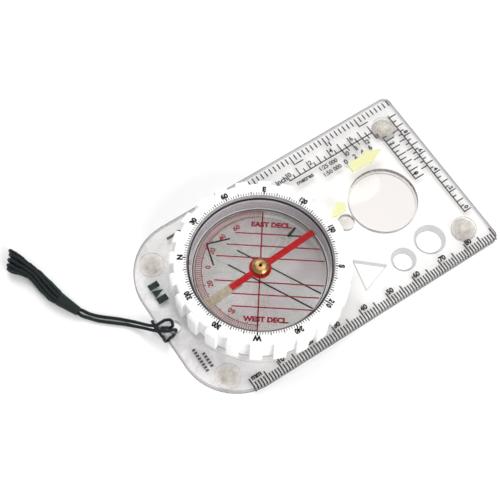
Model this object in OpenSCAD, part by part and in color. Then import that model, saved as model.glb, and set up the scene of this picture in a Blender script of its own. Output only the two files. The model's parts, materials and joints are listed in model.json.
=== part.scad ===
// Baseplate compass with a lanyard, lying on its four feet.
// +X points to the front end of the plate, +Z is up, and the origin is under the middle of the plate.

/* [Baseplate] */
// Length of the plate
plate_length = 104; // [100:1:110]
// Width of the plate
plate_width = 60; // [58:1:66]
// Thickness of the plate
plate_thickness = 2.6; // [2.4:0.1:3]
// Corner radius at the lanyard end
rear_corner_r = 18; // [14:1:20]
// Corner radius at the front end
front_corner_r = 2.5; // [2:0.5:4]
// Bevel round the plate's edges
edge_bevel = 0.4; // [0.2:0.1:0.5]
// Height of the feet under the plate
foot_height = 1.2; // [1.2:0.1:1.5]
// Radius of each foot
foot_r = 4; // [3:0.5:5]

/* [Dial] */
// Distance of the dial's axis behind the middle of the plate
dial_setback = 17.6; // [17:0.1:18]
// Radius over the grip lobes
lobe_r = 27.4; // [27:0.1:27.6]
// Number of grip lobes
lobe_count = 24; // [12:12:36]
// Direction of the dial's north mark, in degrees from the front
dial_north = 143.5; // [0:0.5:360]
// Height of the ring's top above the table
ring_top = 13.7; // [13.5:0.1:14]

/* [Capsule] */
// Inner radius of the capsule
capsule_inner_r = 20.95; // [20.9:0.01:21]
// Direction of the black orienting arrow, in degrees from the front
orienting_north = 117.5; // [0:0.5:360]
// Direction of the red needle arm, in degrees from the front
needle_heading = 3; // [0:1:360]
// Length of the red needle arm from the pivot
needle_reach = 20.2; // [18:0.1:20.4]
// Width of the needle
needle_width = 2; // [1.6:0.1:2.4]
// Direction of the clinometer pointer, in degrees from the front
pointer_heading = 18; // [0:1:360]

/* [Lens and stencils] */
// Radius of the magnifying lens
lens_r = 11; // [9:0.5:11]
// Radius of the large round stencil
large_stencil_r = 4; // [3:0.5:4.5]
// Radius of the small round stencil
small_stencil_r = 3; // [2:0.5:3]
// Distance from the triangular stencil's centre to its corners
triangle_r = 6; // [4:0.5:6]

/* [Lanyard] */
// Diameter of the cord
cord_d = 1; // [0.8:0.1:1]
// Thickness of the hank
hank_height = 4.2; // [3.6:0.1:4.2]

/* [Hidden] */
$fn = 96;
cut = 1;                                        // how far a cutting shape runs past the face it cuts

// Plate levels and outline
plate_bottom = foot_height;
plate_top = plate_bottom + plate_thickness;
plate_front = plate_length / 2;
plate_side = plate_width / 2;
rear_corner_x = rear_corner_r - plate_front;
rear_corner_y = plate_side - rear_corner_r;
front_corner_x = plate_front - front_corner_r;
front_corner_y = plate_side - front_corner_r;
foot_recess = 0.5;
foot_front_x = 45;
foot_rear_x = -43;
foot_y = 21.2;
lanyard_hole_x = -48.2;
lanyard_hole_r = 2;

// Dial seat in the plate
dial_x = -dial_setback;
seat_r = lobe_r + 0.6;
seat_depth = 0.3;
seat_floor = plate_top - seat_depth;
dial_hole_r = 24;
counterbore_r = 25.6;
counterbore_depth = 1.15;

// Dial ring
ring_bottom = seat_floor + 0.2;
ring_bore_r = 22.2;
ring_body_r = lobe_r - 1.4;
ring_skirt_r = dial_hole_r - 0.05;
ring_slope = 0.2;                               // fall of the ring's top from its bore to its rim
ring_chamfer = 0.4;
ring_groove_inner_r = 24.5;
ring_groove_outer_r = 25.7;
ring_groove_depth = 0.45;
lobe_angle = 8;
lobe_root_r = ring_body_r - 0.2;
lobe_top = ring_top - 0.4;
lobe_chamfer = 0.6;

// Retaining and friction rings
retainer_top = plate_bottom + counterbore_depth - 0.1;
retainer_bottom = plate_bottom + 0.2;
retainer_inner_r = 20.2;
retainer_outer_r = 25.3;
friction_inner_r = 24.6;
friction_outer_r = 25.6;
friction_height = 0.6;

// Capsule levels, from the bottom up
capsule_outer_r = ring_bore_r - 0.05;
base_bottom = 5.8;
base_top = 6.8;
wall_top = 11.4;
seal_height = 0.5;
seal_inner_r = 21.35;
seal_outer_r = 21.8;
lid_bottom = wall_top + seal_height;
lid_top = ring_top + 0.2;
lid_chamfer = 0.4;
plug_r = 0.75;
plug_z = 9.5;
meridian_r = 20.7;
meridian_thickness = 0.2;
disc_r = capsule_inner_r - 0.06;
disc_bottom = retainer_top + 0.05;
disc_top = base_bottom - 0.05;
disc_grip_r = 18;
disc_grip_width = 3;
disc_grip_bottom = plate_bottom + 0.4;

// Needle and pointer levels
pin_r = 0.6;
pin_bottom = base_bottom + 0.1;
pin_shoulder = 8.6;
pin_tip = 9.55;
pin_tip_r = 0.1;
washer_r = 1.6;
washer_top = 7.5;
pointer_bottom = washer_top + 0.05;
pointer_thickness = 0.25;
pointer_bore_r = pin_r + 0.08;
pointer_hub_r = 2.2;
pointer_arm_width = 1.2;
pointer_head_width = 3.4;
pointer_head_start = 12;
pointer_reach = 18;
blade_bottom = 8.55;
blade_thickness = 0.3;
blade_hub_r = 3.4;
blade_tail_reach = 11;
tail_start = 7.5;
tail_reach = 20;
tail_width = 2.8;
magnet_start = 3;
magnet_end = 12;
magnet_width = 1.6;
magnet_thickness = 0.5;
cap_stem_r = 1.6;
cap_bore_r = 1.05;
cap_stem_bottom = 8.1;
cap_flange_r = 2.6;
cap_flange_height = 1.3;
cap_top_r = 1.7;
cap_top = 10.9;
cap_window_r = 0.55;
jewel_bottom = 9.2;
jewel_top = 10;
jewel_pit_r = 0.7;
jewel_pit_top = 9.6;

// Lens, stencils, stud and luminous inserts
lens_x = 29;
lens_ledge_r = lens_r - 0.6;
lens_ledge_height = 0.6;
lens_edge = plate_top - 0.3;
lens_rise = 1.5;
stencil_depth = 1.6;                            // straight wall below the stencil's countersink
large_stencil = [33, -18.9];
small_stencil = [22.2, -19.9];
triangle_centre = [11, -17.2];
triangle_turn = -12;
stud_centre = [14.8, 0];
stud_r = 2.6;
stud_seat = plate_top - 1.4;
stud_edge = plate_top + 0.4;
stud_rise = 1;
insert_depth = 0.6;
insert_gap = 0.05;
luminous_index_outline = [[11.6, 3.8], [14.6, 3.2], [17.2, 3.4], [18.4, 5.6], [16.4, 7.4], [13.9, 5.6]];
luminous_arrow_outline = [[26.8, 13.2], [33.4, 13.2], [33.4, 12.4], [39.2, 14.9],
                          [33.4, 17.4], [33.4, 16.4], [26.8, 16.4]];

// Lanyard: one loop of cord, from inside the plate's hole, round the hitch, out to the hank and back
cord_sides = 8;
hitch_route = [[-48.2, -0.8, 2.4], [-48.2, -0.9, 1.6], [-48.9, -1.3, 0.75], [-50.1, -1.6, 0.6],
               [-51.4, -1.7, 0.65], [-52.4, -1.8, 1.2], [-52.75, -1.7, 2.4], [-52.85, -1.5, 3.7],
               [-53.1, -0.8, 4.8], [-53.3, 0.3, 5.3], [-53.4, 1.6, 5.35], [-53.3, 3, 5.3],
               [-53.1, 4.2, 5], [-52.9, 4.8, 4], [-52.75, 4.7, 2.6], [-52.5, 4.1, 1.2],
               [-51.7, 3.1, 0.6], [-50.7, 2.2, 0.55], [-49.6, 1.6, 0.6], [-48.6, 1.1, 1.3],
               [-48.3, 0.9, 2.4], [-48.2, 1.1, 3.5], [-48.1, 1.8, 4.35], [-48.8, 2.6, 4.4],
               [-49.9, 3, 4.4], [-51, 3, 4.4], [-52.1, 2.95, 4.4], [-53.2, 3.35, 4.1],
               [-54.3, 4.5, 3.4], [-55.5, 6.3, 2.4], [-57, 8.5, 1.35], [-58.6, 10.4, 0.75],
               [-60.6, 12.4, 0.6], [-64.6, 15.9, 0.6], [-66.8, 18.3, 0.7], [-68.3, 20.6, 1],
               [-69.2, 22.6, 1.4]];
return_route = [[-70.5, 22.2, 1.4], [-69.5, 19.9, 1], [-67.6, 17.1, 0.7], [-65.4, 14.6, 0.6],
               [-61.4, 11.1, 0.6], [-59.3, 9.2, 0.7], [-57.6, 7.3, 1.2], [-56.2, 5.4, 2.2],
               [-55, 3.6, 3.2], [-54, 2.2, 3.85], [-53, 1.2, 4.25], [-52, 0.4, 4.4],
               [-50.8, -0.4, 4.4], [-49.5, -0.8, 4.2], [-48.5, -0.9, 3.5], [-48.2, -0.8, 2.4]];
sleeve_start = [-69.3, 20.4];
sleeve_end = [-72.2, 27];
sleeve_start_r = 1.4;
sleeve_end_r = hank_height / 2;
hank_axis = [[-72.3, 27.3], [-73.6, 33], [-74.6, 38.2], [-77.4, 43.9]];
hank_radii = [2.4, 2.4, 2.2, 3.3];

// Radius of the sphere whose cap rises this far over a circle of radius r
function cap_sphere_r(r, rise) = (r * r + rise * rise) / (2 * rise);

// Point on a smooth curve between b and c, where t runs from 0 to 1
function curve_point(a, b, c, d, t) =
    b + (c - a) * t / 2 + (2 * a - 5 * b + 4 * c - d) * t * t / 2
    + (3 * b - a - 3 * c + d) * t * t * t / 2;

// The route with one more point in the middle of each stretch
function smooth(route) = [
    for (i = [0 : len(route) - 2])
        let (a = route[max(i - 1, 0)], b = route[i], c = route[i + 1])
        let (d = route[min(i + 2, len(route) - 1)])
        for (t = [0, 0.5]) curve_point(a, b, c, d, t),
    route[len(route) - 1]];

function unit(v) = v / norm(v);
function heading(points, i) = unit(points[min(i + 1, len(points) - 1)] - points[max(i - 1, 0)]);

// A side direction for each ring, carried along the route without twist
function sides(points, i, last) =
    let (t = heading(points, i), side = unit(last - t * (last * t)))
    i == len(points) - 1 ? [side] : concat([side], sides(points, i + 1, side));

// A tube of round section along a route, as one solid
module tube(route, d) {
    points = smooth(route);
    side = sides(points, 0, [0, 1, 0.2]);
    rings = [
        for (i = [0 : len(points) - 1])
            let (t = heading(points, i), up = cross(t, side[i]))
            for (k = [0 : cord_sides - 1])
                let (around = 360 * k / cord_sides)
                points[i] + d / 2 * (cos(around) * side[i] + sin(around) * up)];
    walls = [
        for (i = [0 : len(points) - 2])
            for (k = [0 : cord_sides - 1])
                let (a = i * cord_sides + k, b = i * cord_sides + (k + 1) % cord_sides)
                for (face = [[a, b + cord_sides, b], [a, a + cord_sides, b + cord_sides]]) face];
    first = [for (k = [0 : cord_sides - 1]) k];
    last = [for (k = [cord_sides - 1 : -1 : 0]) (len(points) - 1) * cord_sides + k];
    polyhedron(points = rings, faces = concat(walls, [first, last]));
}

// A flat ring or disc between two heights
module band(outer_r, inner_r, bottom, top) {
    rotate_extrude()
        polygon([[inner_r, bottom], [outer_r, bottom], [outer_r, top], [inner_r, top]]);
}

// Puts a piece on the dial's axis, turned to a heading
module on_dial(angle = 0) {
    translate([dial_x, 0, 0])
        rotate(angle)
            children();
}

module plate_outline() {
    translate([rear_corner_x, -plate_side])
        square([front_corner_x - rear_corner_x, plate_width]);
    translate([-plate_front, -rear_corner_y])
        square([plate_length / 2, 2 * rear_corner_y]);
    translate([0, -front_corner_y])
        square([plate_front, 2 * front_corner_y]);
    for (side = [-1, 1]) {
        translate([rear_corner_x, side * rear_corner_y])
            circle(rear_corner_r);
        translate([front_corner_x, side * front_corner_y])
            circle(front_corner_r);
    }
}

// Section of the bevel, where x is measured out from the wall
module bevel_section(wall) {
    reach = edge_bevel + cut;
    for (face = [[plate_top, 1], [plate_bottom, -1]])
        polygon([[wall - reach, face[0] + face[1] * cut], [wall + cut, face[0] + face[1] * cut],
                 [wall + cut, face[0] - face[1] * reach]]);
}

// Bevel round one corner, starting at an angle
module corner_bevel(centre, r, start) {
    translate([centre[0], centre[1], 0])
        rotate(start)
            rotate_extrude(angle = 90)
                bevel_section(r);
}

// Bevel along one straight edge from a start point, with the plate on its left
module straight_bevel(start, length, angle) {
    translate([start[0], start[1], 0])
        rotate(angle)
            rotate([90, 0, 90])
                linear_extrude(length)
                    mirror([1, 0])
                        bevel_section(0);
}

module edge_bevels() {
    corner_bevel([front_corner_x, front_corner_y], front_corner_r, 0);
    corner_bevel([rear_corner_x, rear_corner_y], rear_corner_r, 90);
    corner_bevel([rear_corner_x, -rear_corner_y], rear_corner_r, 180);
    corner_bevel([front_corner_x, -front_corner_y], front_corner_r, 270);
    straight_bevel([rear_corner_x, -plate_side], front_corner_x - rear_corner_x, 0);
    straight_bevel([plate_front, -front_corner_y], 2 * front_corner_y, 90);
    straight_bevel([front_corner_x, plate_side], front_corner_x - rear_corner_x, 180);
    straight_bevel([-plate_front, rear_corner_y], 2 * rear_corner_y, 270);
}

module stencil(centre, r) {
    straight_top = plate_bottom + stencil_depth;
    sink = plate_top - straight_top + cut;
    translate([centre[0], centre[1], 0]) {
        translate([0, 0, plate_bottom - cut])
            cylinder(h = plate_thickness + 2 * cut, r = r);
        translate([0, 0, straight_top])
            cylinder(h = sink, r1 = r, r2 = r + sink);
    }
}

module foot_places() {
    for (x = [foot_front_x, foot_rear_x])
        for (y = [-foot_y, foot_y])
            translate([x, y, 0])
                children();
}

module insert(outline, gap) {
    translate([0, 0, plate_top - insert_depth])
        linear_extrude(insert_depth + (gap == 0 ? cut : -insert_gap))
            polygon(outline);
}

module baseplate() {
    color("white", 0.4)
        difference() {
            translate([0, 0, plate_bottom])
                linear_extrude(plate_thickness)
                    plate_outline();
            edge_bevels();
            on_dial() {
                band(dial_hole_r, 0, plate_bottom - cut, plate_top + cut);
                band(counterbore_r, 0, plate_bottom - cut, plate_bottom + counterbore_depth);
                band(seat_r, 0, seat_floor, plate_top + cut);
            }
            translate([lens_x, 0, plate_bottom - cut])
                cylinder(h = plate_thickness + 2 * cut, r = lens_ledge_r);
            translate([lens_x, 0, plate_bottom + lens_ledge_height])
                cylinder(h = plate_thickness, r = lens_r);
            translate([stud_centre[0], stud_centre[1], stud_seat])
                cylinder(h = plate_thickness, r = stud_r);
            translate([lanyard_hole_x, 0, plate_bottom - cut])
                cylinder(h = plate_thickness + 2 * cut, r = lanyard_hole_r);
            stencil(large_stencil, large_stencil_r);
            stencil(small_stencil, small_stencil_r);
            translate([triangle_centre[0], triangle_centre[1], plate_bottom - cut])
                rotate(triangle_turn)
                    cylinder(h = plate_thickness + 2 * cut, r = triangle_r, $fn = 3);
            insert(luminous_index_outline, 0);
            insert(luminous_arrow_outline, 0);
            foot_places()
                translate([0, 0, plate_bottom - cut])
                    cylinder(h = foot_recess + cut, r = foot_r);
        }
}

// Flat below, a shallow dome above
module dome_plug(centre, r, bottom, edge, rise) {
    ball_r = cap_sphere_r(r, rise);
    translate([centre[0], centre[1], 0])
        intersection() {
            translate([0, 0, bottom])
                cylinder(h = edge + rise - bottom + cut, r = r);
            translate([0, 0, edge + rise - ball_r])
                sphere(ball_r);
        }
}

module magnifier_lens() {
    color("lightcyan", 0.5)
        dome_plug([lens_x, 0], lens_r, plate_bottom + lens_ledge_height, lens_edge, lens_rise);
}

module index_stud() {
    color("lightcyan", 0.6)
        dome_plug(stud_centre, stud_r, stud_seat, stud_edge, stud_rise);
}

module luminous_index() {
    color("khaki")
        insert(luminous_index_outline, insert_gap);
}

module luminous_arrow() {
    color("khaki")
        insert(luminous_arrow_outline, insert_gap);
}

module foot(x, y) {
    color("wheat", 0.8)
        translate([x, y, 0])
            cylinder(h = plate_bottom + foot_recess, r = foot_r);
}

module foot_front_left() {
    foot(foot_front_x, foot_y);
}

module foot_front_right() {
    foot(foot_front_x, -foot_y);
}

module foot_rear_left() {
    foot(foot_rear_x, foot_y);
}

module foot_rear_right() {
    foot(foot_rear_x, -foot_y);
}

module dial_ring() {
    rim_top = ring_top - ring_slope;
    groove_top = ring_bottom + ring_groove_depth;
    color("white")
        on_dial(dial_north) {
            rotate_extrude()
                polygon([[ring_bore_r, retainer_top],
                         [ring_skirt_r, retainer_top], [ring_skirt_r, ring_bottom],
                         [ring_groove_inner_r, ring_bottom], [ring_groove_inner_r, groove_top],
                         [ring_groove_outer_r, groove_top], [ring_groove_outer_r, ring_bottom],
                         [ring_body_r, ring_bottom], [ring_body_r, rim_top - ring_chamfer],
                         [ring_body_r - ring_chamfer, rim_top],
                         [ring_bore_r + ring_chamfer, ring_top], [ring_bore_r, ring_top]]);
            for (k = [0 : lobe_count - 1])
                rotate(k * 360 / lobe_count - lobe_angle / 2)
                    rotate_extrude(angle = lobe_angle)
                        polygon([[lobe_root_r, ring_bottom], [lobe_r, ring_bottom],
                                 [lobe_r, lobe_top - lobe_chamfer], [lobe_r - lobe_chamfer, lobe_top],
                                 [lobe_root_r, lobe_top]]);
        }
}

module retaining_ring() {
    color("whitesmoke")
        on_dial()
            band(retainer_outer_r, retainer_inner_r, retainer_bottom, retainer_top);
}

module friction_ring() {
    color("gainsboro")
        on_dial()
            band(friction_outer_r, friction_inner_r, seat_floor, seat_floor + friction_height);
}

// A radial hole or plug in the capsule's wall
module plug_shape(r) {
    translate([0, 0, plug_z])
        rotate([0, 90, 0])
            cylinder(h = capsule_outer_r + cut, r = r);
}

module capsule_body() {
    color("lightsteelblue", 0.4)
        on_dial(dial_north)
            difference() {
                band(capsule_outer_r, 0, retainer_top, wall_top);
                band(capsule_inner_r, 0, retainer_top - cut, base_bottom);
                band(capsule_inner_r, 0, base_top, wall_top + cut);
                band(pin_r, 0, pin_bottom, base_top + cut);
                plug_shape(plug_r);
            }
}

module capsule_lid() {
    color("lightcyan", 0.4)
        on_dial()
            rotate_extrude()
                polygon([[0, lid_bottom], [capsule_outer_r, lid_bottom],
                         [capsule_outer_r, lid_top - lid_chamfer],
                         [capsule_outer_r - lid_chamfer, lid_top], [0, lid_top]]);
}

module capsule_seal() {
    color("dimgray")
        on_dial()
            band(seal_outer_r, seal_inner_r, wall_top, lid_bottom);
}

module fill_plug() {
    color("gainsboro")
        on_dial(dial_north)
            intersection() {
                plug_shape(plug_r);
                band(capsule_outer_r, capsule_inner_r, plug_z - 2 * plug_r, plug_z + 2 * plug_r);
            }
}

module meridian_disc() {
    color("mistyrose", 0.6)
        on_dial(dial_north)
            band(meridian_r, pin_r, base_top, base_top + meridian_thickness);
}

module orienting_disc() {
    color("lavender", 0.5)
        on_dial(orienting_north) {
            band(disc_r, 0, disc_bottom, disc_top);
            intersection() {
                band(disc_grip_r, 0, disc_grip_bottom, disc_bottom + 0.1);
                translate([-disc_grip_r, -disc_grip_width / 2, disc_grip_bottom])
                    cube([2 * disc_grip_r, disc_grip_width, disc_bottom - disc_grip_bottom + 0.1]);
            }
        }
}

module pivot_pin() {
    color("silver")
        on_dial()
            rotate_extrude()
                polygon([[0, pin_bottom], [pin_r, pin_bottom], [pin_r, pin_shoulder],
                         [pin_tip_r, pin_tip], [0, pin_tip]]);
}

module pointer_washer() {
    color("white")
        on_dial()
            band(washer_r, pin_r, base_top + meridian_thickness, washer_top);
}

module clinometer_pointer() {
    color("black")
        on_dial(pointer_heading)
            translate([0, 0, pointer_bottom])
                linear_extrude(pointer_thickness)
                    difference() {
                        union() {
                            circle(pointer_hub_r);
                            translate([0, -pointer_arm_width / 2])
                                square([pointer_head_start + 0.5, pointer_arm_width]);
                            polygon([[pointer_head_start, -pointer_head_width / 2], [pointer_reach, 0],
                                     [pointer_head_start, pointer_head_width / 2]]);
                        }
                        circle(pointer_bore_r);
                    }
}

// A straight bar along the needle, under or over the hub
module bar(start, end, width, bottom, thickness) {
    on_dial(needle_heading)
        translate([start, -width / 2, bottom])
            cube([end - start, width, thickness]);
}

module needle_blade() {
    color("red")
        difference() {
            union() {
                bar(-blade_tail_reach, needle_reach, needle_width, blade_bottom, blade_thickness);
                on_dial()
                    band(blade_hub_r, 0, blade_bottom, blade_bottom + blade_thickness);
            }
            on_dial()
                band(cap_stem_r, 0, blade_bottom - cut, blade_bottom + blade_thickness + cut);
        }
}

module needle_tail() {
    color("cornsilk", 0.7)
        bar(-tail_reach, -tail_start, tail_width, blade_bottom - blade_thickness, blade_thickness);
}

module needle_magnet() {
    color("dimgray")
        bar(magnet_start, magnet_end, magnet_width, blade_bottom - magnet_thickness, magnet_thickness);
}

module needle_cap() {
    flange_bottom = blade_bottom + blade_thickness;
    flange_top = flange_bottom + cap_flange_height;
    color("goldenrod")
        on_dial()
            rotate_extrude()
                polygon([[cap_bore_r, cap_stem_bottom],
                         [cap_stem_r, cap_stem_bottom], [cap_stem_r, flange_bottom],
                         [cap_flange_r, flange_bottom], [cap_flange_r, flange_top],
                         [cap_top_r, cap_top], [cap_window_r, cap_top],
                         [cap_window_r, jewel_top], [cap_bore_r, jewel_top]]);
}

module jewel_bearing() {
    color("mediumvioletred")
        on_dial()
            rotate_extrude()
                polygon([[jewel_pit_r, jewel_bottom], [cap_bore_r, jewel_bottom],
                         [cap_bore_r, jewel_top], [0, jewel_top], [0, jewel_pit_top]]);
}

module lanyard_cord() {
    color("darkslategray")
        tube(hitch_route, cord_d);
}

module lanyard_return() {
    color("darkslategray")
        tube(return_route, cord_d);
}

module lanyard_sleeve() {
    run = sleeve_end - sleeve_start;
    rise = sleeve_end_r - sleeve_start_r;
    color("black")
        translate([sleeve_start[0], sleeve_start[1], sleeve_start_r])
            rotate([0, 90 - atan2(rise, norm(run)), atan2(run[1], run[0])])
                cylinder(h = norm([norm(run), rise]), r1 = sleeve_start_r, r2 = sleeve_end_r);
}

module lanyard_hank() {
    color("darkslategray")
        linear_extrude(hank_height)
            for (i = [0 : len(hank_axis) - 2])
                hull() {
                    translate(hank_axis[i])
                        circle(hank_radii[i], $fn = 32);
                    translate(hank_axis[i + 1])
                        circle(hank_radii[i + 1], $fn = 32);
                }
}

baseplate();
magnifier_lens();
index_stud();
luminous_index();
luminous_arrow();
foot_front_left();
foot_front_right();
foot_rear_left();
foot_rear_right();
dial_ring();
retaining_ring();
friction_ring();
capsule_body();
capsule_lid();
capsule_seal();
fill_plug();
meridian_disc();
orienting_disc();
pivot_pin();
pointer_washer();
clinometer_pointer();
needle_blade();
needle_tail();
needle_magnet();
needle_cap();
jewel_bearing();
lanyard_cord();
lanyard_return();
lanyard_sleeve();
lanyard_hank();
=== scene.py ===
"""Looks of a clear baseplate compass with a cord lanyard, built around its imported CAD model.

Lengths are in millimetres until a mesh is made, which is when MM turns them into metres.
"""

import json
import math
import random

import bmesh
import bpy
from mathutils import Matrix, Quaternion, Vector


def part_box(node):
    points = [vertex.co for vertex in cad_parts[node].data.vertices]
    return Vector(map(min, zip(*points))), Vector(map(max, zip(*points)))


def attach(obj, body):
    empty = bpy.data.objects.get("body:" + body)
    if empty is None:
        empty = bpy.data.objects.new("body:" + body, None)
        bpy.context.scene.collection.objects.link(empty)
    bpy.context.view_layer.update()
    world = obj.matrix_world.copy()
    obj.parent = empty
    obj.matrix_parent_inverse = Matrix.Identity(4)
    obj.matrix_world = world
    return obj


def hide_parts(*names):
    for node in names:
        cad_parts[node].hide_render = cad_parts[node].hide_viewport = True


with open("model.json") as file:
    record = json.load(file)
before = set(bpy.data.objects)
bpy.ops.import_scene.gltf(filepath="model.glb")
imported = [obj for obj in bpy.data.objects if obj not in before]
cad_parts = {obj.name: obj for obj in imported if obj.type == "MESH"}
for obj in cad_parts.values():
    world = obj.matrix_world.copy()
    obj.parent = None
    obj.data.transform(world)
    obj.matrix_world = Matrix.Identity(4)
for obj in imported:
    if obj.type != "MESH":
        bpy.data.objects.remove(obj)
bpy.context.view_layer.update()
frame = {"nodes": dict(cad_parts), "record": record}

MM = 0.001

# Camera, placed so that the plate's corners and rulers fall where the reference view has them
CAMERA_PLACE = Vector((-112.3, -116.7, 358.7))
CAMERA_TARGET = Vector((-14.8, 9.3, 1.2))
CAMERA_ROLL = math.radians(4.33)
CAMERA_LENS = 91.41


def centre_of(node):
    """Middle of a CAD node's box, in millimetres."""
    low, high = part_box(node)
    return (low + high) / (2 * MM)


# Places on the compass
DIAL_CENTRE = centre_of("dial_ring")
PLATE_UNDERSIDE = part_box("baseplate")[0].z / MM
RING_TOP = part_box("dial_ring")[1].z / MM
MERIDIAN_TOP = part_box("meridian_disc")[1].z / MM
ORIENTING_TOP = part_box("orienting_disc")[1].z / MM
POINTER_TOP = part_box("clinometer_pointer")[1].z / MM
NORTH_HEADING = 143.5
ORIENTING_HEADING = 117.5
INK_THICKNESS = 0.02

# Xs between which the clear plate's colour carries painted shade: a mottled painted reflection darkening its
# rear, and a painted grey band along its front edge
PAINTED_SHADE_REAR = (-42, -22)
PAINTED_SHADE_EDGE = (50.6, 51.3)

# Lanyard
CORD_DIAMETER = 1.0
HITCH_ROUTE = [
    (-48.2, -0.8, 2.4), (-48.2, -0.9, 1.6), (-48.9, -1.3, 0.75), (-50.1, -1.6, 0.6),
    (-51.4, -1.7, 0.65), (-52.4, -1.8, 1.2), (-52.75, -1.7, 2.4), (-52.85, -1.5, 3.7),
    (-53.1, -0.8, 4.8), (-53.3, 0.3, 5.3), (-53.4, 1.6, 5.35), (-53.3, 3, 5.3),
    (-53.1, 4.2, 5), (-52.9, 4.8, 4), (-52.75, 4.7, 2.6), (-52.5, 4.1, 1.2),
    (-51.7, 3.1, 0.6), (-50.7, 2.2, 0.55), (-49.6, 1.6, 0.6), (-48.6, 1.1, 1.3),
    (-48.3, 0.9, 2.4), (-48.2, 1.1, 3.5), (-48.1, 1.8, 4.35), (-48.8, 2.6, 4.4),
    (-49.9, 3, 4.4), (-51, 3, 4.4), (-52.1, 2.95, 4.4), (-53.2, 3.35, 4.1),
    (-54.3, 4.5, 3.4), (-55.5, 6.3, 2.4), (-57, 8.5, 1.35), (-58.6, 10.4, 0.75),
    (-60.6, 12.4, 0.6), (-64.6, 15.9, 0.6), (-66.8, 18.3, 0.7), (-68.3, 20.6, 1),
    (-69.2, 22.6, 1.4),
]
RETURN_ROUTE = [
    (-70.5, 22.2, 1.4), (-69.5, 19.9, 1), (-67.6, 17.1, 0.7), (-65.4, 14.6, 0.6),
    (-61.4, 11.1, 0.6), (-59.3, 9.2, 0.7), (-57.6, 7.3, 1.2), (-56.2, 5.4, 2.2),
    (-55, 3.6, 3.2), (-54, 2.2, 3.85), (-53, 1.2, 4.25), (-52, 0.4, 4.4),
    (-50.8, -0.4, 4.4), (-49.5, -0.8, 4.2), (-48.5, -0.9, 3.5), (-48.2, -0.8, 2.4),
]
BINDING_START = Vector((-69.3, 20.4, 1.4))
BINDING_END = Vector((-72.2, 27.0, 2.1))
HANK_AXIS = [
    (-69.3, 20.4, 1.4), (-72.2, 27.0, 2.1), (-73.6, 33.0, 2.1), (-74.6, 38.2, 2.1),
    (-77.4, 43.9, 2.1), (-78.8, 46.8, 2.1),
]


def curve_through(points, steps):
    """Points on a Catmull-Rom curve through the given ones, with so many steps to a stretch."""
    points = [Vector(p) for p in points]
    curve = []
    for i in range(len(points) - 1):
        a, b = points[i], points[i + 1]
        before, after = points[max(i - 1, 0)], points[min(i + 2, len(points) - 1)]
        for k in range(steps):
            t = k / steps
            curve.append(0.5 * (
                2 * a + (b - before) * t + (2 * before - 5 * a + 4 * b - after) * t ** 2
                + (3 * a - before - 3 * b + after) * t ** 3
            ))
    curve.append(points[-1])
    return curve


def spaced(points, step):
    """The same line with its points close to one step apart."""
    lengths = [0.0]
    for a, b in zip(points, points[1:]):
        lengths.append(lengths[-1] + (b - a).length)
    count = round(lengths[-1] / step)
    line, i = [], 0
    for k in range(count + 1):
        want = lengths[-1] * k / count
        while i < len(points) - 2 and lengths[i + 1] < want:
            i += 1
        share = (want - lengths[i]) / max(lengths[i + 1] - lengths[i], 1e-9)
        line.append(points[i].lerp(points[i + 1], min(share, 1)))
    return line


def between(table, x):
    """Value at x in a table of (x, value) pairs, straight between its rows."""
    if x <= table[0][0]:
        return table[0][1]
    for (x0, y0), (x1, y1) in zip(table, table[1:]):
        if x <= x1:
            return y0 + (y1 - y0) * (x - x0) / (x1 - x0)
    return table[-1][1]


# --- Node materials ---------------------------------------------------------------------------------

NOISE_ROUGHNESS = 0.55


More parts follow.
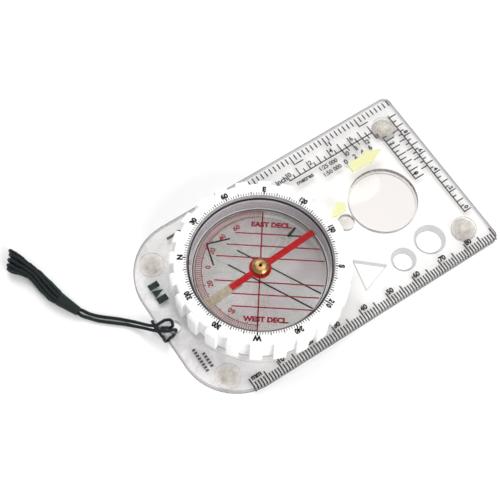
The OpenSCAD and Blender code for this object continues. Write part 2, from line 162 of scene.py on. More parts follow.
class Finish:
    """A Principled material whose textures are laid out in millimetres of the piece."""

    def __init__(self, name, color, roughness, **settings):
        self.material = bpy.data.materials.new(name)
        self.material.use_nodes = True
        self.nodes = self.material.node_tree.nodes
        self.links = self.material.node_tree.links
        self.shader = self.nodes["Principled BSDF"]
        self.shader.inputs["Base Color"].default_value = (*color, 1)
        self.shader.inputs["Roughness"].default_value = roughness
        for socket, value in settings.items():
            self.shader.inputs[socket.replace("_", " ")].default_value = value

    def place(self, source="Object", stretch=(1, 1, 1), origin=(0, 0, 0)):
        """Texture places in millimetres, stretched, and counted from an origin."""
        coordinates = self.nodes.new("ShaderNodeTexCoord")
        mapping = self.nodes.new("ShaderNodeMapping")
        scale = 1 / MM if source == "Object" else 1
        mapping.inputs["Scale"].default_value = [scale * s for s in stretch]
        mapping.inputs["Location"].default_value = [-o * s for o, s in zip(origin, stretch)]
        self.links.new(coordinates.outputs[source], mapping.inputs["Vector"])
        return mapping.outputs["Vector"]

    def noise(self, grain, place=None, detail=4.0, distortion=0.0):
        """Soft noise whose lumps are about a grain wide, in millimetres."""
        node = self.nodes.new("ShaderNodeTexNoise")
        node.inputs["Scale"].default_value = 1 / grain
        node.inputs["Detail"].default_value = detail
        node.inputs["Roughness"].default_value = NOISE_ROUGHNESS
        node.inputs["Distortion"].default_value = distortion
        self.links.new(place or self.place(), node.inputs["Vector"])
        return node.outputs["Fac"]

    def cells(self, grain):
        """Crystals about a grain wide, in millimetres: the distance from the middle of each."""
        node = self.nodes.new("ShaderNodeTexVoronoi")
        node.inputs["Scale"].default_value = 1 / grain
        self.links.new(self.place(), node.inputs["Vector"])
        return node.outputs["Distance"]

    def math(self, operation, a, b=0.0):
        """Result of a sum on two numbers or sockets."""
        node = self.nodes.new("ShaderNodeMath")
        node.operation = operation
        for socket, value in zip(node.inputs, (a, b)):
            if isinstance(value, (int, float)):
                socket.default_value = value
            else:
                self.links.new(value, socket)
        return node.outputs[0]

    def spread(self, source, low, high, to_low=0.0, to_high=1.0):
        """The source, read from low to high, spread over another range and held there."""
        node = self.nodes.new("ShaderNodeMapRange")
        ends = {"From Min": low, "From Max": high, "To Min": to_low, "To Max": to_high}
        for socket, value in ends.items():
            node.inputs[socket].default_value = value
        self.links.new(source, node.inputs["Value"])
        return node.outputs["Result"]

    def colors(self, factor, *stops):
        """Base colour from a ramp of (position, colour) stops, and the ramp's own output."""
        ramp = self.nodes.new("ShaderNodeValToRGB")
        elements = ramp.color_ramp.elements
        while len(elements) < len(stops):
            elements.new(0.5)
        for element, (position, color) in zip(elements, stops):
            element.position = position
            element.color = (*color, 1)
        self.links.new(factor, ramp.inputs["Fac"])
        self.links.new(ramp.outputs["Color"], self.shader.inputs["Base Color"])
        return ramp.outputs["Color"]

    def rough(self, source, low, high):
        """Roughness between low and high, where the source runs over its usual middle range."""
        self.links.new(self.spread(source, 0.3, 0.7, low, high), self.shader.inputs["Roughness"])

    def bump(self, height, depth):
        """Relief of so many millimetres. A second call adds its relief to the first."""
        node = self.nodes.new("ShaderNodeBump")
        node.inputs["Distance"].default_value = depth * MM
        self.links.new(height, node.inputs["Height"])
        if self.shader.inputs["Normal"].is_linked:
            self.links.new(self.shader.inputs["Normal"].links[0].from_socket, node.inputs["Normal"])
        self.links.new(node.outputs["Normal"], self.shader.inputs["Normal"])

    def upright(self, most):
        """From 0 on level faces up to this most on upright and steep ones."""
        steep, level = 0.72, 0.95
        coordinates = self.nodes.new("ShaderNodeTexCoord")
        split = self.nodes.new("ShaderNodeSeparateXYZ")
        self.links.new(coordinates.outputs["Normal"], split.inputs["Vector"])
        return self.spread(self.math("ABSOLUTE", split.outputs["Z"]), steep, level, most, 0.0)

    def let_through(self, share, tint):
        """Mixes this share of clear, unbent view into the shader that is on the surface."""
        output = self.nodes["Material Output"].inputs["Surface"]
        clear = self.nodes.new("ShaderNodeBsdfTransparent")
        clear.inputs["Color"].default_value = (*tint, 1)
        mix = self.nodes.new("ShaderNodeMixShader")
        self.links.new(share, mix.inputs["Fac"])
        self.links.new(output.links[0].from_socket, mix.inputs[1])
        self.links.new(clear.outputs["BSDF"], mix.inputs[2])
        self.links.new(mix.outputs["Shader"], output)

    def radius(self, centre):
        """Distance from an upright axis, in millimetres."""
        place = self.place(stretch=(1, 1, 0), origin=(centre.x, centre.y, 0))
        node = self.nodes.new("ShaderNodeVectorMath")
        node.operation = "LENGTH"
        self.links.new(place, node.inputs[0])
        return node.outputs["Value"]


def clear_plastic(name, color, shade, wall=None, scratches=1.0, ripple=1.0, index=1.3, painted_shade_color=None):
    """Polished clear plastic: faint moulding ripples, hairline scratches and smudges.

    With a wall colour its upright walls let a grey-tinted, unbent share of the view through: painted shade
    for the soft grey lines that refraction and shadow give there. A darker grey last colour adds more painted
    shade: a mottled painted reflection towards the plate's rear and a painted grey band along its front edge.
    """
    finish = Finish(name, color, 0.02, IOR=index, Transmission_Weight=1.0)
    tone_and_painted_shade = finish.noise(30, detail=4, distortion=1.5)
    if painted_shade_color:
        split = finish.nodes.new("ShaderNodeSeparateXYZ")
        finish.links.new(finish.place(), split.inputs["Vector"])
        # Painted shade: a mottled painted reflection that darkens the plate towards its rear, and a painted
        # grey band along its front edge
        painted_reflection_mottle = finish.spread(finish.noise(5, detail=5, distortion=1.4), 0.35, 0.68, 0.0, 0.62)
        rear = finish.spread(split.outputs["X"], *PAINTED_SHADE_REAR, 1.0, 0.0)
        edge = finish.spread(split.outputs["X"], *PAINTED_SHADE_EDGE, 0.0, 0.55)
        painted_rear_reflection = finish.math("MULTIPLY", painted_reflection_mottle, rear)
        tone_and_painted_shade = finish.math("SUBTRACT", tone_and_painted_shade, finish.math("MAXIMUM", painted_rear_reflection, edge))
        finish.colors(tone_and_painted_shade, (0.0, painted_shade_color), (0.35, shade), (0.65, color))
    else:
        finish.colors(tone_and_painted_shade, (0.35, shade), (0.65, color))
    finish.rough(finish.noise(9, detail=5, distortion=0.6), 0.0, 0.05)
    finish.bump(finish.noise(14, detail=1), 0.03 * ripple)
    lines = finish.noise(0.5, finish.place(stretch=(0.06, 1, 1)), detail=2)
    finish.bump(finish.spread(lines, 0.68, 0.74), 0.0008 * scratches)
    if wall:
        # Painted shade: upright walls let a grey-tinted share of the view through, standing in for the grey
        # lines of refraction and shadow
        finish.let_through(finish.upright(0.75), wall)
    return finish.material


def clear_dome(name, tint, edge):
    """A polished clear lens or stud with a gloss on top. It doesn't bend the light. Its tint turns greyer
    where it curves away from the view, which is painted shade for the grey arcs that refraction gives at its
    edge.
    """
    finish = Finish(name, tint, 0.03, IOR=1.45)
    facing = finish.nodes.new("ShaderNodeLayerWeight")
    facing.inputs["Blend"].default_value = 0.5
    uneven = finish.math("MULTIPLY", finish.noise(8, detail=2), 0.16)
    # Painted shade: the see-through tint runs from the tint colour to the grey edge colour as the surface
    # turns away from the view
    painted_edge_shade_tint = finish.colors(finish.math("ADD", facing.outputs["Facing"], uneven), (0.2, tint), (0.95, edge))
    clear = finish.nodes.new("ShaderNodeBsdfTransparent")
    finish.links.new(painted_edge_shade_tint, clear.inputs["Color"])
    gloss = finish.nodes.new("ShaderNodeBsdfGlossy")
    gloss.inputs["Roughness"].default_value = 0.06
    gloss_share = finish.nodes.new("ShaderNodeFresnel")
    gloss_share.inputs["IOR"].default_value = 1.4
    finish.bump(finish.noise(6, detail=1), 0.02)
    finish.links.new(finish.shader.inputs["Normal"].links[0].from_socket, gloss.inputs["Normal"])
    mix = finish.nodes.new("ShaderNodeMixShader")
    finish.links.new(gloss_share.outputs["Fac"], mix.inputs["Fac"])
    finish.links.new(clear.outputs["BSDF"], mix.inputs[1])
    finish.links.new(gloss.outputs["BSDF"], mix.inputs[2])
    finish.links.new(mix.outputs["Shader"], finish.nodes["Material Output"].inputs["Surface"])
    return finish.material


def thin_pane(name, tint, mottle):
    """A clear pane in a clear liquid: it tints and glints a little, and doesn't bend the light."""
    finish = Finish(name, tint, 0.08)
    transparent = finish.nodes.new("ShaderNodeBsdfTransparent")
    ramp_color = finish.colors(finish.noise(7, detail=4, distortion=1.2), (0.3, tint), (0.7, mottle))
    finish.links.new(ramp_color, transparent.inputs["Color"])
    mix = finish.nodes.new("ShaderNodeMixShader")
    mix.inputs["Fac"].default_value = 0.02
    finish.bump(finish.noise(5, detail=3), 0.01)
    finish.links.new(transparent.outputs["BSDF"], mix.inputs[1])
    finish.links.new(finish.shader.outputs["BSDF"], mix.inputs[2])
    finish.links.new(mix.outputs["Shader"], finish.nodes["Material Output"].inputs["Surface"])
    return finish.material


def moulded_plastic(name, color, shade, roughness, **settings):
    """Opaque moulded plastic with a fine satin texture and slightly uneven colour."""
    finish = Finish(name, color, roughness, **settings)
    finish.colors(finish.noise(6, detail=5), (0.3, shade), (0.7, color))
    finish.rough(finish.noise(2.5, detail=3), roughness * 0.85, min(roughness * 1.2, 1))
    finish.bump(finish.noise(0.18, detail=3), 0.006)
    finish.bump(finish.noise(5, detail=2), 0.02)
    return finish.material


def luminous_plastic(name, color, shade, clear=0.0):
    """Photoluminescent plastic: waxy, filled with fine crystals. Some of it may be clear."""
    finish = Finish(name, color, 0.5, Subsurface_Weight=0.3, Subsurface_Radius=(0.0015, 0.0014, 0.0006),
                    Subsurface_Scale=1.0)
    finish.colors(finish.cells(0.25), (0.1, shade), (0.6, color))
    finish.rough(finish.noise(0.6), 0.4, 0.62)
    finish.bump(finish.cells(0.2), 0.01)
    if clear:
        share = finish.spread(finish.noise(1.5, detail=4), 0.3, 0.7, clear * 0.6, clear * 1.4)
        finish.let_through(share, (1, 1, 1))
    return finish.material


def rubber(name, color, shade, roughness=0.6):
    """Soft rubber: mottled, with a fine matt grain."""
    finish = Finish(name, color, roughness)
    finish.colors(finish.noise(1.6, detail=6, distortion=0.8), (0.32, shade), (0.62, color))
    finish.rough(finish.noise(0.9), roughness * 0.8, min(1, roughness * 1.25))
    finish.bump(finish.noise(0.3, detail=5), 0.03)
    return finish.material


def gel_pad(name, node):
    """Clear gel rubber of one foot: milky in the middle, clearer and uneven towards its rim."""
    low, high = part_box(node)
    rim = (high.x - low.x) / (2 * MM)
    milky, pale = (0.66, 0.62, 0.52), (0.85, 0.81, 0.74)
    finish = Finish(name, pale, 0.4)
    finish.colors(finish.noise(1.3, detail=6, distortion=1.0), (0.35, milky), (0.62, pale))
    finish.rough(finish.noise(0.9), 0.3, 0.5)
    finish.bump(finish.noise(0.4, detail=4), 0.02)
    wander = finish.math("MULTIPLY", finish.noise(2.4, detail=3, distortion=0.8), 0.7 * rim)
    reach = finish.math("ADD", finish.radius(centre_of(node)), wander)
    finish.let_through(finish.spread(reach, 0.5 * rim, 1.15 * rim, 0.35, 0.98), (0.98, 0.975, 0.965))
    return finish.material


def painted_metal(name, color, shade):
    """Satin paint on a thin metal strip: slight orange peel and darker runs."""
    finish = Finish(name, color, 0.34, Specular_IOR_Level=0.12)
    finish.colors(finish.noise(2.2, detail=5), (0.3, shade), (0.65, color))
    finish.rough(finish.noise(0.8), 0.26, 0.44)
    finish.bump(finish.noise(0.35, detail=3), 0.004)
    return finish.material


def turned_metal(name, color, shade, roughness, centre, pitch=0.16):
    """Metal turned on a lathe: fine rings round the axis, with tarnish between them."""
    finish = Finish(name, color, roughness, Metallic=1.0)
    rings = finish.math("SINE", finish.math("MULTIPLY", finish.radius(centre), 2 * math.pi / pitch))
    finish.bump(rings, 0.008)
    finish.colors(finish.noise(1.1, detail=6), (0.3, shade), (0.62, color))
    finish.rough(finish.noise(0.5, detail=4), roughness * 0.8, roughness * 1.4)
    return finish.material


def ground_steel(name, color, shade, roughness):
    """Ground steel: brushed one way."""
    finish = Finish(name, color, roughness, Metallic=1.0)
    brushed = finish.noise(0.12, finish.place(stretch=(0.08, 1, 1)), detail=4)
    finish.colors(brushed, (0.3, shade), (0.7, color))
    finish.rough(brushed, roughness * 0.8, roughness * 1.3)
    finish.bump(brushed, 0.006)
    return finish.material


def ink(name, color, shade):
    """Screen-printed ink: a little uneven in density, with a rough skin."""
    roughness = 0.45
    finish = Finish(name, color, roughness, Specular_IOR_Level=0.1)
    finish.colors(finish.noise(0.5, detail=4), (0.35, shade), (0.65, color))
    finish.rough(finish.noise(0.3), roughness * 0.8, roughness * 1.2)
    finish.bump(finish.noise(0.15), 0.003)
    return finish.material


def woven_cord(name, color, shade, sheen):
    """Braided cord: yarns cross in two directions along the UVs, which count strands."""
    finish = Finish(name, color, 0.5, Sheen_Weight=sheen, Sheen_Roughness=0.4, Specular_IOR_Level=0.25)
    split = finish.nodes.new("ShaderNodeSeparateXYZ")
    finish.links.new(finish.place("UV"), split.inputs["Vector"])
    along, around = split.outputs["X"], split.outputs["Y"]
    left, right = (
        finish.math("SINE", finish.math("MULTIPLY", finish.math(crossing, along, around), 2 * math.pi))
        for crossing in ("ADD", "SUBTRACT")
    )
    yarns = finish.math("MAXIMUM", left, right)
    fibres = finish.noise(0.05, detail=3)
    # Colour: random fibre tone, plus painted shade that makes the grooves between the yarns darker
    fibres_and_groove_shade = finish.math("ADD", finish.math("MULTIPLY", yarns, 0.3), finish.math("MULTIPLY", fibres, 0.7))
    finish.colors(fibres_and_groove_shade, (0.25, shade), (0.75, color))
    finish.rough(fibres, 0.42, 0.7)
    finish.bump(yarns, 0.05)
    finish.bump(fibres, 0.03)
    return finish.material


MATERIALS = {
    # Painted shade on the plate: grey walls, a mottled painted reflection at the rear and a painted grey band
    # along the front edge
    "clear_acrylic": clear_plastic(
        "clear_acrylic", (0.93, 0.914, 0.896), (0.86, 0.845, 0.845), wall=(0.5, 0.49, 0.51),
        painted_shade_color=(0.71, 0.695, 0.715),
    ),
    # Lens: its grey edge colour is painted shade for refraction at its rim
    "lens_acrylic": clear_dome("lens_acrylic", (0.905, 0.885, 0.872), (0.85, 0.84, 0.84)),
    # Painted shade: the capsule's grey walls stand in for the shadowed bore of the dial ring seen through
    # them
    "capsule_acrylic": clear_plastic(
        "capsule_acrylic", (0.93, 0.91, 0.925), (0.9, 0.88, 0.89), wall=(0.68, 0.66, 0.69),
        ripple=0.4, index=1.12,
    ),
    "meridian_film": thin_pane("meridian_film", (0.95, 0.93, 0.94), (0.9, 0.93, 0.9)),
    "orienting_acrylic": thin_pane("orienting_acrylic", (0.965, 0.94, 0.955), (0.91, 0.94, 0.91)),
    # Stud: its grey edge colour is painted shade for refraction at its rim
    "stud_acrylic": clear_dome("stud_acrylic", (0.96, 0.95, 0.94), (0.84, 0.83, 0.83)),
    "luminous_yellow": luminous_plastic("luminous_yellow", (0.72, 0.72, 0.42), (0.62, 0.63, 0.3)),
    "dial_white": moulded_plastic(
        "dial_white", (0.92, 0.92, 0.91), (0.88, 0.88, 0.87), 0.38,
        Subsurface_Weight=0.4, Subsurface_Radius=(0.002, 0.002, 0.002), Subsurface_Scale=1.0,
    ),
    "friction_plastic": moulded_plastic("friction_plastic", (0.7, 0.7, 0.7), (0.6, 0.6, 0.6), 0.45),
    "seal_rubber": rubber("seal_rubber", (0.03, 0.04, 0.036), (0.012, 0.018, 0.016), 0.5),
    "plug_rubber": rubber("plug_rubber", (0.5, 0.48, 0.5), (0.4, 0.38, 0.4)),
    "pin_steel": turned_metal("pin_steel", (0.75, 0.75, 0.76), (0.6, 0.6, 0.61), 0.2, DIAL_CENTRE, 0.08),
    "washer_plastic": moulded_plastic("washer_plastic", (0.85, 0.85, 0.84), (0.78, 0.78, 0.77), 0.4),
    "pointer_black": ink("pointer_black", (0.02, 0.022, 0.022), (0.01, 0.011, 0.011)),
    "pointer_film": thin_pane("pointer_film", (0.93, 0.95, 0.93), (0.88, 0.92, 0.89)),
    "needle_red": painted_metal("needle_red", (0.44, 0.008, 0.011), (0.34, 0.005, 0.008)),
    "needle_luminous": luminous_plastic(
        "needle_luminous", (0.42, 0.35, 0.24), (0.27, 0.23, 0.15), clear=0.4,
    ),
    "magnet_steel": ground_steel("magnet_steel", (0.36, 0.36, 0.37), (0.24, 0.24, 0.25), 0.35),
    "cap_brass": turned_metal("cap_brass", (0.5, 0.33, 0.13), (0.27, 0.17, 0.06), 0.3, DIAL_CENTRE),
    "jewel_red": clear_plastic("jewel_red", (0.6, 0.05, 0.1), (0.5, 0.04, 0.08), scratches=0.3, index=1.5),
    "cord_black": woven_cord("cord_black", (0.014, 0.023, 0.026), (0.002, 0.005, 0.006), 0.03),
    "binding_dark": woven_cord("binding_dark", (0.03, 0.05, 0.046), (0.004, 0.008, 0.008), 0.06),
}
PLATE_INK = ink("plate_ink", (0.014, 0.014, 0.015), (0.008, 0.008, 0.009))
GREEN_INK = ink("green_ink", (0.008, 0.03, 0.02), (0.005, 0.022, 0.014))
GREY_INK = ink("grey_ink", (0.12, 0.115, 0.115), (0.08, 0.075, 0.075))
RED_INK = ink("red_ink", (0.3, 0.012, 0.025), (0.22, 0.01, 0.02))
# Dark olive for the ring at the floor disc's edge: painted shade where that edge shows dark
RIM_PAINTED_SHADE = ink("rim_painted_shade", (0.06, 0.07, 0.035), (0.035, 0.042, 0.02))


# --- Meshes -----------------------------------------------------------------------------------------


def new_piece(name, vertices, faces, material, smooth=False):
    """A mesh object from places in millimetres, with its normals outward."""
    mesh = bpy.data.meshes.new(name)
    mesh.from_pydata([Vector(v) * MM for v in vertices], [], faces)
    shape = bmesh.new()
    shape.from_mesh(mesh)
    bmesh.ops.recalc_face_normals(shape, faces=shape.faces)
    shape.to_mesh(mesh)
    shape.free()
    mesh.polygons.foreach_set("use_smooth", [smooth] * len(mesh.polygons))
    mesh.materials.append(material)
    piece = bpy.data.objects.new(name, mesh)
    bpy.context.scene.collection.objects.link(piece)
    return piece


def ring_faces(rings, sides, closed=False):
    """Quads between rings of so many vertices, each ring joined to the next one."""
    faces = []
    for i in range(rings if closed else rings - 1):
        here, after = i * sides, (i + 1) % rings * sides
        for k in range(sides):
            following = (k + 1) % sides
            faces.append((here + k, here + following, after + following, after + k))
    return faces


def settle(piece, body):
    """Attaches a piece to the body that it rides on."""
    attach(piece, body)


# --- Camera, floor and light ------------------------------------------------------------------------


def make_camera():
    """The camera at the reference view's angle, a little rolled."""
    camera = bpy.data.objects.new("camera", bpy.data.cameras.new("camera"))
    camera.data.lens = CAMERA_LENS
    camera.data.clip_start = 0.01
    camera.data.clip_end = 20
    camera.location = CAMERA_PLACE * MM
    camera.rotation_mode = "QUATERNION"
    facing = (CAMERA_TARGET - CAMERA_PLACE).to_track_quat("-Z", "Y")
    camera.rotation_quaternion = facing @ Quaternion((0, 0, 1), CAMERA_ROLL)
    bpy.context.scene.collection.objects.link(camera)
    bpy.context.scene.camera = camera


def make_floor():
    """A plain pale floor that reaches past every view."""
    half = 9000
    finish = Finish("studio_floor", (0.94, 0.94, 0.94), 0.9)
    finish.rough(finish.noise(40), 0.85, 0.95)
    corners = [(-half, -half, 0), (half, -half, 0), (half, half, 0), (-half, half, 0)]
    new_piece("studio_floor", corners, [(0, 1, 2, 3)], finish.material)


def make_world():
    """Soft light from all round, a little darker towards the horizon so that clear edges show."""
    world = bpy.data.worlds.new("studio")
    world.use_nodes = True
    nodes, links = world.node_tree.nodes, world.node_tree.links
    coordinates = nodes.new("ShaderNodeTexCoord")
    split = nodes.new("ShaderNodeSeparateXYZ")
    ramp = nodes.new("ShaderNodeValToRGB")
    ramp.color_ramp.elements[0].position = 0.0
    ramp.color_ramp.elements[0].color = (0.5, 0.5, 0.51, 1)
    ramp.color_ramp.elements[1].position = 0.55
    ramp.color_ramp.elements[1].color = (1, 1, 1, 1)
    links.new(coordinates.outputs["Generated"], split.inputs["Vector"])
    links.new(split.outputs["Z"], ramp.inputs["Fac"])
    links.new(ramp.outputs["Color"], nodes["Background"].inputs["Color"])
    nodes["Background"].inputs["Strength"].default_value = 0.66
    bpy.context.scene.world = world


def make_light(name, place, target, size, power):
    """A round soft light that faces its target."""
    light = bpy.data.lights.new(name, "AREA")
    light.shape = "DISK"
    light.size = size * MM
    light.energy = power
    lamp = bpy.data.objects.new(name, light)
    lamp.location = Vector(place) * MM
    lamp.rotation_mode = "QUATERNION"
    lamp.rotation_quaternion = (Vector(target) - Vector(place)).to_track_quat("-Z", "Y")
    bpy.context.scene.collection.objects.link(lamp)


make_camera()
make_floor()
make_world()
make_light("key", (178, 666, 689), (0, 0, 0), 700, 5)
make_light("fill", (110, -890, 260), (0, 0, 0), 700, 6.5)
make_light("glint", (40, -420, 420), (-10, 0, 0), 90, 0.5)
bpy.context.scene.view_settings.view_transform = "Standard"


# --- Lanyard ----------------------------------------------------------------------------------------

# Half width and half height of the hank, at distances counted along it from the binding's near end
HANK_SPREAD = [
    (0, 0.75), (3.5, 1.05), (6.8, 1.4), (9, 1.85), (13, 1.9), (18.7, 1.68), (22, 2.0), (25, 2.65), (28, 2.8),
]
HANK_RISE = [(0, 0.75), (3.5, 1.05), (6.8, 1.35), (9, 1.52), (28, 1.55)]
HANK_CORE = 0.5
HANK_FLARE_START, HANK_END = 19.0, 27.7
HANK_FLARE_LIFT = 0.35
HANK_TWIST = math.radians(40)
HANK_SEED = 5

# Its turns: one in the core, and columns round it whose angles fall by an even step
CORE_TURN_SHORT, COLUMN_TURN_SHORT = 3.2, 1.2
COLUMNS, FIRST_COLUMN, COLUMN_STEP = 5, 162, 36
COLUMN_REACH_STEP, COLUMN_REACH_SPREAD = 0.75, 0.5
NEAR_FOLD_START, NEAR_FOLD_STEP = 1.8, 0.75
FOLD_DEPTH, CORE_FOLD_DEPTH = 0.9, 0.6
FOLD_STEPS = 8
RUN_STEP = 1.2
RUN_SWAY = 0.07
AXIS_STEP = 0.1
HANK_LINE = spaced(curve_through(HANK_AXIS, 12), AXIS_STEP)


def hank_place(along, across, up):
    """A place in the hank: along its axis, level across it, and up."""
    i = min(max(round(along / AXIS_STEP), 0), len(HANK_LINE) - 2)
    a, b = HANK_LINE[i], HANK_LINE[i + 1]
    forward = (b - a).normalized()
    sideways = forward.cross(Vector((0, 0, 1))).normalized()
    return a + forward * (along - AXIS_STEP * i) + sideways * across + sideways.cross(forward) * up


def run_place(along, angle, core, sway=0.0):
    """Where a run of the cord crosses the hank's section, at its angle round the axis."""
    flare = min(max((along - HANK_FLARE_START) / (HANK_END - HANK_FLARE_START), 0), 1)
    turned = angle + HANK_TWIST * (1 - flare) * (1 - along / HANK_END)
    if core:
        return HANK_CORE * math.cos(turned), HANK_CORE * math.sin(turned)
    lift = math.sin(turned)
    lift += flare * HANK_FLARE_LIFT * math.copysign(1 - abs(lift), lift)
    return between(HANK_SPREAD, along) * math.cos(turned) + sway, between(HANK_RISE, along) * lift


def fold(start, end, turn, depth, sign):
    """The cord's places as it folds back, from one run's section to another's."""
    places = []
    for step in range(1, FOLD_STEPS):
        swing = math.pi * step / FOLD_STEPS
        share = (1 - math.cos(swing)) / 2
        across = start[0] + (end[0] - start[0]) * share
        up = start[1] + (end[1] - start[1]) * share
        places.append(hank_place(turn - sign * depth * (1 - math.sin(swing)), across, up))
    return places


def hank_route():
    """The cord's way through the hank: a turn in its core, then upright turns side by side round it."""
    rng = random.Random(HANK_SEED)
    turns = [(math.radians(90), True, HANK_END - CORE_TURN_SHORT)]
    for k in range(COLUMNS):
        reach = HANK_END - COLUMN_TURN_SHORT + COLUMN_REACH_STEP * k - rng.uniform(0, COLUMN_REACH_SPREAD)
        turns.append((math.radians(FIRST_COLUMN - COLUMN_STEP * k), False, reach))
    route = []
    for k, (angle, core, far_turn) in enumerate(turns):
        near_turn = NEAR_FOLD_START + NEAR_FOLD_STEP * k
        out_start = near_turn + FOLD_DEPTH
        depth = CORE_FOLD_DEPTH if core else max(FOLD_DEPTH, abs(run_place(far_turn, angle, core)[1]))
        out_end = far_turn - depth
        runs = round((out_end - out_start) / RUN_STEP)
        stations = [out_start + (out_end - out_start) * i / runs for i in range(runs + 1)]
        sways = [rng.uniform(-RUN_SWAY, RUN_SWAY) for _ in stations]
        for along, sway in zip(stations, sways):
            route.append(hank_place(along, *run_place(along, angle, core, sway)))
        route += fold(run_place(out_end, angle, core), run_place(out_end, -angle, core), far_turn, depth, 1)
        for along, sway in reversed(list(zip(stations, sways))):
            route.append(hank_place(along, *run_place(along, -angle, core, sway)))
        if k < len(turns) - 1:
            next_angle, next_core, _ = turns[k + 1]
            route += fold(
                run_place(out_start, -angle, core), run_place(out_start, next_angle, next_core),
                near_turn, FOLD_DEPTH, -1,
            )
    return route


def braided_tube(name, line, radius, sides, material):
    """A closed tube along a line, with the relief of a braid of crossing yarns, and UVs that count them."""
    yarns_around, yarns_along, braid_pitch = 6, 4, 1.5
    relief, yarn_middle = 0.07, 0.6
    side = (line[1] - line[0]).orthogonal().normalized()
    vertices, stations, travelled = [], [], 0.0
    for i, place in enumerate(line):
        forward = (line[min(i + 1, len(line) - 1)] - line[max(i - 1, 0)]).normalized()
        side = (side - forward * side.dot(forward)).normalized()
        upward = forward.cross(side)
        travelled += (place - line[i - 1]).length if i else 0
        stations.append(travelled)
        for k in range(sides):
            turn = 2 * math.pi * k / sides
            phase = 2 * math.pi * travelled / braid_pitch
            left = math.sin(yarns_around / 2 * turn + phase)
            right = math.sin(yarns_around / 2 * turn - phase)
            reach = radius * (1 + relief * (max(left, right) - yarn_middle))
            vertices.append(place + (side * math.cos(turn) + upward * math.sin(turn)) * reach)
    ends = [tuple(range(sides)), tuple(range(len(vertices) - sides, len(vertices)))]
    tube = new_piece(name, vertices, ring_faces(len(line), sides) + ends, material, smooth=True)
    uvs = tube.data.uv_layers.new(name="UVMap", do_init=False)
    for face in list(tube.data.polygons)[:-len(ends)]:
        last_column = face.index % sides == sides - 1
        for loop in face.loop_indices:
            station, column = divmod(tube.data.loops[loop].vertex_index, sides)
            if last_column and column == 0:
                column = sides
            uvs.data[loop].uv = (stations[station] / braid_pitch * yarns_along, column / sides * yarns_around)
    return tube


def make_lanyard(binding):
    """The cord: out of the plate's hole through the hitch, round the hank, and back to the hole."""
    steps, ring_spacing, sides = 6, 0.22, 12
    coarse = curve_through(HITCH_ROUTE[:-1] + hank_route() + RETURN_ROUTE[1:], steps)
    line = spaced(coarse, ring_spacing)
    lanyard = braided_tube("lanyard", line, CORD_DIAMETER / 2, sides, MATERIALS["cord_black"])
    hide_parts("lanyard_cord", "lanyard_return", "lanyard_hank")
    settle(lanyard, "plate")


def make_binding():
    """Thread wound round the hank's near end: a tapered sleeve with one ridge to each wrap."""
    thread, wall, sides, steps = 0.3, 0.5, 40, 180
    ridge, inset_all, end_rounding, end_share = 0.12, 0.02, 0.22, 1 / 18
    run = BINDING_END - BINDING_START
    forward = run.normalized()
    side = forward.cross(Vector((0, 0, 1))).normalized()
    upward = side.cross(forward)
    low, high = CORD_DIAMETER * 1.4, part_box("lanyard_hank")[1].z / MM / 2

    def ring(share, inset, ridged):
        ring_places = []
        for k in range(sides):
            turn = 2 * math.pi * k / sides
            wrap = abs(math.sin(math.pi * (share * run.length / thread - k / sides)))
            end_round = end_rounding * max(0, 1 - min(share, 1 - share) / end_share) ** 2
            reach = low + (high - low) * share - inset - end_round
            if ridged:
                reach -= ridge * (1 - wrap) + inset_all
            centre = BINDING_START + run * share
            ring_places.append(centre + (side * math.cos(turn) + upward * math.sin(turn)) * reach)
        return ring_places

    rings = [ring(i / steps, 0, True) for i in range(steps + 1)]
    rings += [ring(share, wall, False) for share in (0.98, 0.75, 0.5, 0.25, 0.02)]
    vertices = [place for places in rings for place in places]
    faces = ring_faces(len(rings), sides, closed=True)
    binding = new_piece("lanyard_binding", vertices, faces, MATERIALS["binding_dark"], smooth=True)
    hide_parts("lanyard_sleeve")
    settle(binding, "plate")
    return binding


make_lanyard(make_binding())


# --- Print ------------------------------------------------------------------------------------------


